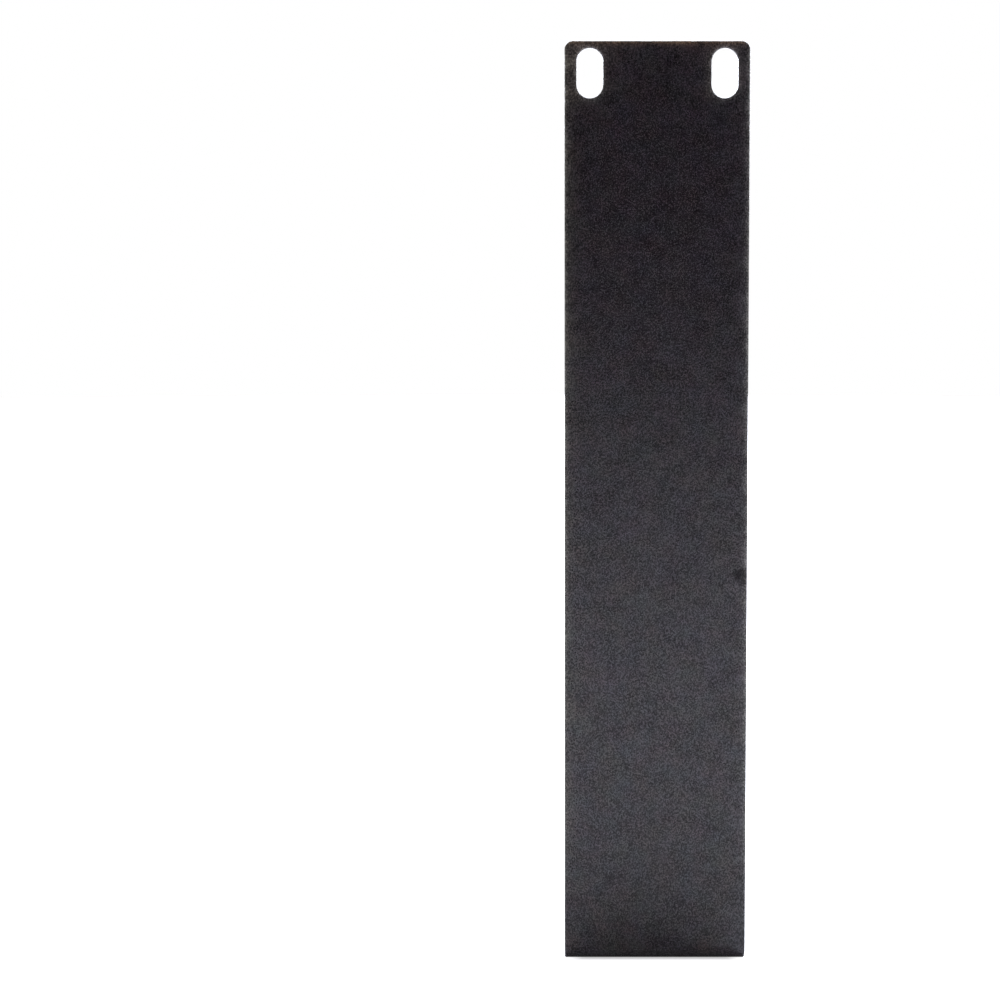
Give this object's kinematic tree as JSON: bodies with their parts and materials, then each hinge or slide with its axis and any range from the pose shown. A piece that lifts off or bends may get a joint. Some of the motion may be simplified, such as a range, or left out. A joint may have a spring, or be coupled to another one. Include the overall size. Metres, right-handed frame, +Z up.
{
  "type": "rack mount ear bracket",
  "caption": "Long rack mount ear folded from a strip of black coated steel sheet, with slots for the rack rail at the plate's free end and a pierced flange for the device's side.",
  "frame": {"origin": "middle of the footprint, on the flange's underside", "axes": "+X across the strip, +Y back from the plate along the flange, +Z up the plate; the plate's front face looks along -Y"},
  "size_m": [0.0436, 0.061, 0.22],
  "materials": {
    "powder_coat": "black powder coat with a fine grain, satin sheen"
  },
  "bodies": {
    "root": {"ear_bracket": "powder_coat"}
  },
  "joints": []
}
